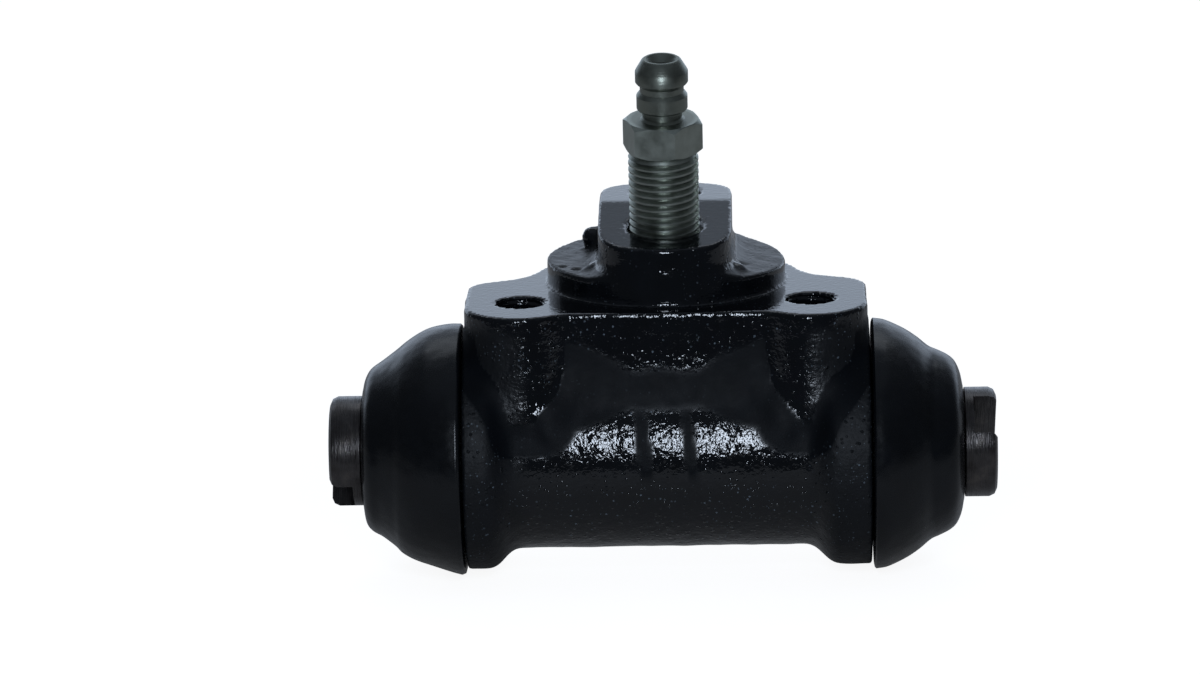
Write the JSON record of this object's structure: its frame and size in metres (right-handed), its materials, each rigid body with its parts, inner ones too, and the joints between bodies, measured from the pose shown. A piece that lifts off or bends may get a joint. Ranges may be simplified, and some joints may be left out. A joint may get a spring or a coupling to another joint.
{
  "type": "wheel cylinder",
  "caption": "Drum brake wheel cylinder: cast body with opposed slotted pistons in rubber boots, a round pilot flange and a bleed nipple; fluid pressure pushes the brake shoes apart.",
  "frame": {"origin": "centre of the round pilot, on the mounting face of the flange", "axes": "+Z leaves the mounting face towards the bleed nipple, +X runs along the piston bore, +Y points away from the tapped holes"},
  "size_m": [0.0946, 0.0477, 0.0746],
  "materials": {
    "black_casting": "gloss black paint over a rough casting",
    "nipple_steel": "dull plated steel, olive grey",
    "piston_steel": "turned steel, dark brown",
    "seal_rubber": "smooth black rubber",
    "spring_steel": "plain steel",
    "boot_rubber": "satin black rubber"
  },
  "bodies": {
    "cylinder": {"cylinder_body": "black_casting", "boot_left": "boot_rubber", "boot_right": "boot_rubber", "return_spring": "spring_steel"},
    "left_piston": {"piston_left": "piston_steel", "cup_left": "seal_rubber", "expander_left": "spring_steel"},
    "right_piston": {"piston_right": "piston_steel", "cup_right": "seal_rubber", "expander_right": "spring_steel"},
    "bleeder": {"bleeder_screw": "nipple_steel"}
  },
  "joints": [
    {"name": "left_piston_slide", "type": "slide", "parent": "cylinder", "child": "left_piston", "axis": [-1, 0, 0], "range_m": [-0.004, 0.006], "stiffness_N_per_m": 800, "deforming": ["boot_left", "return_spring"]},
    {"name": "right_piston_slide", "type": "slide", "parent": "cylinder", "child": "right_piston", "axis": [1, 0, 0], "range_m": [-0.004, 0.006], "stiffness_N_per_m": 800, "deforming": ["boot_right", "return_spring"]},
    {"name": "bleeder_turn", "type": "hinge", "parent": "cylinder", "child": "bleeder", "pos_m": [0, -0.007, 0.00965], "axis": [0, -0.1392, 0.9903], "range_deg": [0, 360]}
  ]
}
